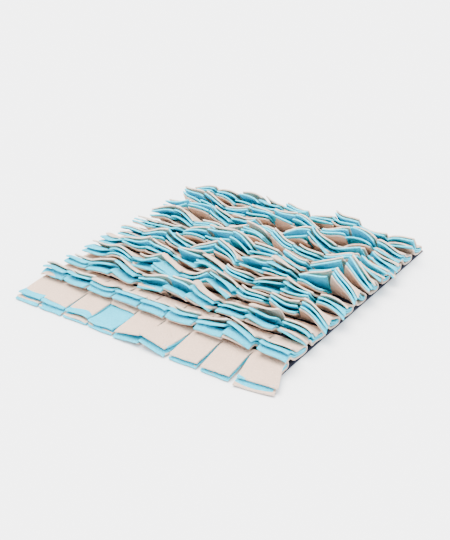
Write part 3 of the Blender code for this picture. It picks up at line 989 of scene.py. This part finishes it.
# %% Helpers for node groups
def add_socket(group, name, direction, kind, value=None):
    socket = group.interface.new_socket(name=name, in_out=direction, socket_type=kind)
    if value is not None:
        socket.default_value = value


def noise(tree, vector, scale, detail, low, high):
    """Noise of one size, stretched so that most of it lies between 0 and 1."""
    texture = tree.nodes.new("ShaderNodeTexNoise")
    texture.inputs["Scale"].default_value = scale
    texture.inputs["Detail"].default_value = detail
    tree.links.new(vector, texture.inputs["Vector"])
    spread_out = tree.nodes.new("ShaderNodeMapRange")
    spread_out.inputs["From Min"].default_value = low
    spread_out.inputs["From Max"].default_value = high
    tree.links.new(texture.outputs["Fac"], spread_out.inputs["Value"])
    return spread_out.outputs["Result"]


def mixed(tree, factor, first, second, share):
    """Two colours mixed by a factor that is first scaled by a share."""
    scaled = tree.nodes.new("ShaderNodeMath")
    scaled.operation = "MULTIPLY"
    scaled.inputs[1].default_value = share
    tree.links.new(factor, scaled.inputs[0])
    mix = tree.nodes.new("ShaderNodeMix")
    mix.data_type = "RGBA"
    tree.links.new(scaled.outputs[0], mix.inputs["Factor"])
    tree.links.new(first, mix.inputs["A"])
    tree.links.new(second, mix.inputs["B"])
    return mix.outputs["Result"]


print("helpers:", [helper.__name__ for helper in (add_socket, noise, mixed)])

# %% The fleece node group
CLOUDS, TUFTS, FIBRES = 45, 380, 1500  # scales of the noise: patches a finger wide, tufts, single fibres
SHADED_CLOUDS, SHADED_TUFTS, BRIGHT_FIBRES = 0.35, 0.7, 0.4  # how much of each shows
TUFT_HEIGHT = 2.0  # a tuft stands this many times as high as a fibre


def make_fleece_group():
    group = bpy.data.node_groups.new("fleece mottle", "ShaderNodeTree")
    add_socket(group, "Colour", "INPUT", "NodeSocketColor", (0.8, 0.7, 0.6, 1))
    add_socket(group, "Shade", "INPUT", "NodeSocketColor", (0.5, 0.4, 0.3, 1))
    add_socket(group, "Fibre", "INPUT", "NodeSocketColor", (0.9, 0.9, 0.9, 1))
    add_socket(group, "Colour", "OUTPUT", "NodeSocketColor")
    add_socket(group, "Height", "OUTPUT", "NodeSocketFloat")
    inside = group.nodes.new("NodeGroupInput")
    outside = group.nodes.new("NodeGroupOutput")
    place = group.nodes.new("ShaderNodeTexCoord").outputs["Object"]
    clouds = noise(group, place, CLOUDS, detail=3, low=0.35, high=0.65)
    tufts = noise(group, place, TUFTS, detail=4, low=0.32, high=0.68)
    fibres = noise(group, place, FIBRES, detail=3, low=0.35, high=0.7)
    colour = mixed(group, clouds, inside.outputs["Colour"], inside.outputs["Shade"], SHADED_CLOUDS)
    colour = mixed(group, tufts, colour, inside.outputs["Shade"], SHADED_TUFTS)
    colour = mixed(group, fibres, colour, inside.outputs["Fibre"], BRIGHT_FIBRES)
    height = group.nodes.new("ShaderNodeMath")
    height.operation = "MULTIPLY_ADD"
    height.inputs[1].default_value = TUFT_HEIGHT
    group.links.new(tufts, height.inputs[0])
    group.links.new(fibres, height.inputs[2])
    group.links.new(colour, outside.inputs["Colour"])
    group.links.new(height.outputs[0], outside.inputs["Height"])
    return group


fleece_group = make_fleece_group()
print("group:", fleece_group.name, "with", len(fleece_group.nodes), "nodes")

# %% [markdown]
# ## Four finishes
# The two fleeces are the same cloth in two colours, and each has a face and a cut edge. A cut edge gets
# lighter colours, a painted highlight where light catches it, and more fuzz. The shader itself stays in each
# material, and only the mottle and its height come from the group.

# %% A cloth material
def cloth(name, group, colours, roughness, gloss, bump):
    """A cloth whose colour and height come from a node group, and its shader.

    bump gives the strength and the height of its relief.
    """
    made = bpy.data.materials.new(name)
    made.use_nodes = True
    tree = made.node_tree
    shader = tree.nodes["Principled BSDF"]
    shader.inputs["Roughness"].default_value = roughness
    shader.inputs["Specular IOR Level"].default_value = gloss
    pattern = tree.nodes.new("ShaderNodeGroup")
    pattern.node_tree = group
    for socket, colour in colours.items():
        pattern.inputs[socket].default_value = colour
    relief = tree.nodes.new("ShaderNodeBump")
    relief.inputs["Strength"].default_value, relief.inputs["Distance"].default_value = bump
    tree.links.new(pattern.outputs["Colour"], shader.inputs["Base Color"])
    tree.links.new(pattern.outputs["Height"], relief.inputs["Height"])
    tree.links.new(relief.outputs["Normal"], shader.inputs["Normal"])
    return made, shader


sockets = fleece_group.interface.items_tree
print("colours that a fleece needs:", [socket.name for socket in sockets if socket.in_out == "INPUT"])

# %% Fleece materials
FLEECES = {
    # colour, shade in the hollows, fibre ends, fuzz
    "beige_fleece": ((0.67, 0.46, 0.335, 1), (0.52, 0.36, 0.265, 1), (0.84, 0.60, 0.46, 1), 0.8),
    # the cut edge is lighter than the face: a painted highlight where light catches it
    "beige_fleece_cut_edge": ((0.88, 0.66, 0.53, 1), (0.68, 0.51, 0.40, 1), (0.96, 0.80, 0.68, 1), 0.9),
    "blue_fleece": ((0.0, 0.50, 0.70, 1), (0.0, 0.35, 0.48, 1), (0.03, 0.68, 0.88, 1), 0.8),
    # the cut edge is lighter than the face: a painted highlight where light catches it
    "blue_fleece_cut_edge": ((0.03, 0.78, 0.99, 1), (0.0, 0.56, 0.76, 1), (0.14, 0.90, 1.0, 1), 0.9),
}
FUZZ_HEIGHT = 0.0012  # of the bump, in metres
FLEECE_SHEEN, SHEEN_SPREAD = 0.04, 0.6


def fleece(name, colour, shade, fibre, fuzz):
    """A matte fleece with the mottle group, a soft bump and a little sheen."""
    colours = {"Colour": colour, "Shade": shade, "Fibre": fibre}
    made, shader = cloth(name, fleece_group, colours, roughness=1.0, gloss=0.05, bump=(fuzz, FUZZ_HEIGHT))
    shader.inputs["Sheen Weight"].default_value = FLEECE_SHEEN
    shader.inputs["Sheen Roughness"].default_value = SHEEN_SPREAD
    return made


fleeces = {name: fleece(name, *recipe) for name, recipe in FLEECES.items()}
print("fleeces:", list(fleeces))

# %% [markdown]
# ## Making the strips
# A beige strip runs from its bottom flaps through the band and round the turn to its top flaps. A blue strip
# folds inside it, with a tighter turn. Each one replaces its plain solid, which is hidden.

# %% Bands and turns
BEIGE_TURN = (0.0030, 0.0040)  # how far it bulges back, and half its height
BEIGE_TURN_PLACE = (0.0002, 0.0042)  # its middle, back from the band and up
BLUE_TURN = 0.0013  # the radius of the fold inside it
BLUE_TURN_INSET = 0.0012  # how far in front of the band's back line the fold begins


def beige_lines(row):
    """The band and the turn of a beige strip, from its front line to its top line."""
    y = row_place(row)
    lines = [(y - BAND / 2, BAND_HEIGHT), (y, BAND_HEIGHT), (y + BAND / 2, BAND_HEIGHT)]
    middle_y, middle_z = y + BAND / 2 + BEIGE_TURN_PLACE[0], BAND_HEIGHT + BEIGE_TURN_PLACE[1]
    for angle in np.radians((-62, -30, 0, 30, 62)):
        lines.append((middle_y + BEIGE_TURN[0] * math.cos(angle), middle_z + BEIGE_TURN[1] * math.sin(angle)))
    across, up = TURN[-1]
    return lines + [(y + BAND / 2 + across, BAND_HEIGHT + up)]


def blue_lines(row):
    """The band of a blue strip: forward on its lower leaf, round a tight turn and back on its upper one."""
    y = row_place(row)
    low, high = BLUE_HEIGHT - FLEECE / 2, BLUE_HEIGHT + FLEECE / 2
    front, back = y - BLUE_BAND / 2, y + BLUE_BAND / 2 - BLUE_TURN_INSET
    lines = [(front, low), (y, low), (back, low)]
    for angle in np.radians((-45, 0, 45)):
        lines.append((back + BLUE_TURN * math.cos(angle), BLUE_HEIGHT + BLUE_TURN * math.sin(angle)))
    return lines + [(back, high), (y, high), (front, high)]


print("lines across a band and its turn:", len(beige_lines(1)), "beige and", len(blue_lines(1)), "blue")


def make_strip(row, colour, lines, lower_leaf, upper_leaf):
    node = f"{colour}_strip_{row:02d}"
    sets = []
    for line, leaf in ((0, lower_leaf), (len(lines) - 1, upper_leaf)):
        sets.append((line, [fine_leaves[row, leaf, flap] for flap in range(1, FLAPS + 1)]))
    mesh, area = strip_mesh(node + "_cloth", lines, sets)
    # the second material is the lighter edge: a painted highlight
    piece = tailored(node + "_cloth", mesh, fleeces[f"{colour}_fleece"], fleeces[f"{colour}_fleece_cut_edge"])
    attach(piece, "root")
    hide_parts(node)
    return piece


strips = []
for row in range(1, ROWS + 1):
    strips.append(make_strip(row, "beige", beige_lines(row), 0, 3))
    strips.append(make_strip(row, "blue", blue_lines(row), 1, 2))
print("strips:", len(strips))
print("points before subdivision:", sum(len(strip.data.vertices) for strip in strips))

# %% [markdown]
# ## The backing
# The rows are sewn to a thin, tightly woven dark cloth. Only its edge shows from above, and its underside is
# the part that lies on the floor. Its weave is two sets of fine threads that cross, made from two wave
# textures in a node group of its own.

# %% The weave node group
THREADS = 420  # scale of the waves that make the threads
CROOKED = 0.6  # how far they stray from straight
WORN = 90  # scale of the worn patches


def make_weave_group():
    group = bpy.data.node_groups.new("plain weave", "ShaderNodeTree")
    add_socket(group, "Thread", "INPUT", "NodeSocketColor", (0.02, 0.02, 0.04, 1))
    add_socket(group, "Gap", "INPUT", "NodeSocketColor", (0.0, 0.0, 0.01, 1))
    add_socket(group, "Colour", "OUTPUT", "NodeSocketColor")
    add_socket(group, "Height", "OUTPUT", "NodeSocketFloat")
    inside = group.nodes.new("NodeGroupInput")
    outside = group.nodes.new("NodeGroupOutput")
    place = group.nodes.new("ShaderNodeTexCoord").outputs["Object"]
    waves = []
    for direction in ("X", "Y"):
        wave = group.nodes.new("ShaderNodeTexWave")
        wave.bands_direction = direction
        wave.inputs["Scale"].default_value = THREADS
        wave.inputs["Distortion"].default_value = CROOKED
        group.links.new(place, wave.inputs["Vector"])
        waves.append(wave.outputs["Fac"])
    weave = group.nodes.new("ShaderNodeMath")
    weave.operation = "MULTIPLY"
    group.links.new(waves[0], weave.inputs[0])
    group.links.new(waves[1], weave.inputs[1])
    worn = noise(group, place, WORN, detail=3, low=0.3, high=0.7)
    colour = mixed(group, weave.outputs[0], inside.outputs["Gap"], inside.outputs["Thread"], share=1.0)
    colour = mixed(group, worn, colour, inside.outputs["Thread"], share=0.3)
    group.links.new(colour, outside.inputs["Colour"])
    group.links.new(weave.outputs[0], outside.inputs["Height"])
    return group


weave_group = make_weave_group()
print("group:", weave_group.name, "with", len(weave_group.nodes), "nodes")

# %% The backing cloth
BACKING_SQUARES = 48  # the sheet's mesh has this many squares along each side
THREAD_HEIGHT = 0.0002  # of the bump, in metres


def woven(name, thread, gap):
    """A plain tight weave with a faint gloss."""
    colours = {"Thread": thread, "Gap": gap}
    made, _ = cloth(name, weave_group, colours, roughness=0.85, gloss=0.2, bump=(0.5, THREAD_HEIGHT))
    return made


dark_cloth = woven("dark_backing", (0.030, 0.034, 0.055, 1), (0.006, 0.007, 0.013, 1))


def make_backing():
    """A flat sheet with a soft edge, the size of the solid backing."""
    bpy.ops.mesh.primitive_grid_add(x_subdivisions=BACKING_SQUARES, y_subdivisions=BACKING_SQUARES, size=1)
    piece = bpy.context.object
    piece.name = "backing_cloth"
    size = backing_high - backing_low
    middle = (backing_low + backing_high) / 2
    piece.scale = (size.x, size.y, 1)
    piece.location = (middle.x, middle.y, BACKING / 2)
    bpy.ops.object.transform_apply(location=True, scale=True)
    piece.data.materials.append(dark_cloth)
    piece.data.shade_smooth()
    soften(piece, BACKING)
    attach(piece, "root")
    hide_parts("backing")
    return piece


backing = make_backing()
print("backing:", [round(side, 3) for side in backing.dimensions])

# %% [markdown]
# ## The seams
# Each row is held by one line of machine stitches through both strips and the backing. From above the flaps
# hide it, but the underside shows eleven straight seams and a hem line round the edge. A stitch is a
# small ball, stretched to its length. All of them are one mesh, because thousands of objects would be slow.

# %% Where the stitches go
STITCH = 0.0030  # the length of one
STITCH_GAP = 0.0008  # between two
HEM = 0.005  # from the edge of the backing to its hem line
FRONT_HEM = 0.003  # the same at the front, where the first seam is close


def stitch_places():
    """The middle of each stitch on the underside, and 1 where it runs from front to back."""
    step = STITCH + STITCH_GAP
    for row in range(1, ROWS + 1):
        for x in np.arange(-WIDTH / 2 + step, WIDTH / 2 - step / 2, step):
            yield x, row_place(row), 0
    left, right = -WIDTH / 2 - BACKING_SIDE + HEM, WIDTH / 2 + BACKING_SIDE - HEM
    front, back = -BACKING_FRONT + FRONT_HEM, DEPTH + BACKING_BACK - HEM
    for x in np.arange(left, right, step):
        yield x, front, 0
        yield x, back, 0
    for y in np.arange(front + step, back - step, step):
        yield left, y, 1
        yield right, y, 1


print("stitches:", len(list(stitch_places())))

# %% The stitches
THREAD = 0.00045  # its thickness
SUNK = 0.42  # how high a thread's middle lies, in thicknesses above the floor


def make_stitches(finish):
    """All the stitches as one mesh of small stretched balls."""
    mesh = bpy.data.meshes.new("seam_stitches")
    seam = bmesh.new()
    for x, y, turned in stitch_places():
        made = bmesh.ops.create_icosphere(seam, subdivisions=1, radius=0.5)["verts"]
        long, wide = (THREAD, STITCH) if turned else (STITCH, THREAD)
        bmesh.ops.scale(seam, verts=made, vec=(long, wide, THREAD))
        bmesh.ops.translate(seam, verts=made, vec=(x, y, THREAD * SUNK))
    bmesh.ops.translate(seam, verts=seam.verts, vec=SHIFT)
    seam.to_mesh(mesh)
    seam.free()
    mesh.materials.append(finish)
    mesh.shade_smooth()
    stitches = bpy.data.objects.new("seam_stitches", mesh)
    bpy.context.scene.collection.objects.link(stitches)
    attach(stitches, "root")
    return stitches


thread_finish = woven("seam_thread", (0.075, 0.085, 0.12, 1), (0.03, 0.034, 0.05, 1))
stitches = make_stitches(thread_finish)
print("faces in the stitches:", len(stitches.data.polygons))

# %% [markdown]
# ## Studio
# A pale floor, a very wide soft light from overhead and a bright room around it. The floor stays evenly lit,
# the shadows are soft, and the flaps shade each other.

# %% Floor
FLOOR_SIZE = 14  # wide enough to have no edge in sight
FLOOR_GREY = (0.66, 0.66, 0.66, 1)


def make_floor():
    bpy.ops.mesh.primitive_plane_add(size=FLOOR_SIZE, location=(0, 0, 0))
    floor = bpy.context.object
    floor.name = "studio_floor"
    finish = bpy.data.materials.new("studio_floor")
    finish.use_nodes = True
    shader = finish.node_tree.nodes["Principled BSDF"]
    shader.inputs["Base Color"].default_value = FLOOR_GREY
    shader.inputs["Roughness"].default_value = 0.9
    floor.data.materials.append(finish)
    floor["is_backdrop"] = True
    return floor


floor = make_floor()
print(floor.name, "is", FLOOR_SIZE, "m wide")

# %% Light
LIGHT_PLACE = (-0.45, 0.1, 2.0)  # overhead, a little to the left
LIGHT_SPREAD = math.radians(50)  # the wider, the softer its shadows
LIGHT_STRENGTH = 14.2
WARM_WHITE = (1.0, 0.91, 0.83)
ROOM_COLOUR = (0.90, 1.0, 1.11, 1)  # a cooler light in the shade
ROOM_STRENGTH = 3.9


def aimed(thing, target):
    """Turns a light or a camera to a point."""
    thing.rotation_euler = (Vector(target) - thing.location).to_track_quat("-Z", "Y").to_euler()


def make_soft_light():
    data = bpy.data.lights.new("overhead_light", "SUN")
    data.angle = LIGHT_SPREAD
    data.energy = LIGHT_STRENGTH
    data.color = WARM_WHITE
    light = bpy.data.objects.new("overhead_light", data)
    light.location = LIGHT_PLACE
    bpy.context.scene.collection.objects.link(light)
    aimed(light, (0, 0, 0))
    return light


def make_room():
    """A bright room all round."""
    world = bpy.data.worlds.new("studio")
    world.use_nodes = True
    background = world.node_tree.nodes["Background"]
    background.inputs["Color"].default_value = ROOM_COLOUR
    background.inputs["Strength"].default_value = ROOM_STRENGTH
    return world


light = make_soft_light()
bpy.context.scene.world = make_room()
print("light:", light.name, "in a room of strength", ROOM_STRENGTH)

# %% [markdown]
# ## Camera
# The camera stands in front of the mat and to its right, about 1.3 metres away, and looks down at it by
# about 26 degrees. Its place is worked out from a point on the floor, a direction and a distance.

# %% Camera
CAMERA_SIDE = math.radians(34.81)  # how far it stands to the right of straight ahead
CAMERA_DOWN = math.radians(26.29)  # how steeply it looks down
CAMERA_AWAY = 27.57 * FLAP_PITCH  # from the point it looks at
AIM = (4.19 * FLAP_PITCH, 4.105 * FLAP_PITCH)  # from the front left corner to the point it looks at
PICTURE_HEIGHT = 540  # in pixels
FOCAL_LENGTH = 831.2  # in pixels too
SENSOR_HEIGHT = 36  # in millimetres

corner = SHIFT - np.array([WIDTH / 2, 0, 0])
target = Vector((corner[0] + AIM[0], corner[1] + AIM[1], 0))
camera_data = bpy.data.cameras.new("camera")
camera_data.sensor_fit = "VERTICAL"
camera_data.sensor_height = SENSOR_HEIGHT
camera_data.lens = FOCAL_LENGTH / PICTURE_HEIGHT * SENSOR_HEIGHT
camera = bpy.data.objects.new("camera", camera_data)
flat_away = CAMERA_AWAY * math.cos(CAMERA_DOWN)
above = CAMERA_AWAY * math.sin(CAMERA_DOWN)
away = (flat_away * math.sin(CAMERA_SIDE), -flat_away * math.cos(CAMERA_SIDE), above)
camera.location = target + Vector(away)
bpy.context.scene.collection.objects.link(camera)
aimed(camera, target)
bpy.context.scene.camera = camera
print("camera at", [round(side, 3) for side in camera.location])

# %% [markdown]
# ## The size at the end
# The cloth must not outgrow the solid model, so both boxes are printed.

# %% Finish
visual_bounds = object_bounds()
boxes = {"solid": np.array(solid_bounds).tolist(), "visual": np.array(visual_bounds).tolist()}
for name, box in boxes.items():
    print(name, "box:", np.array(box).round(3).tolist())
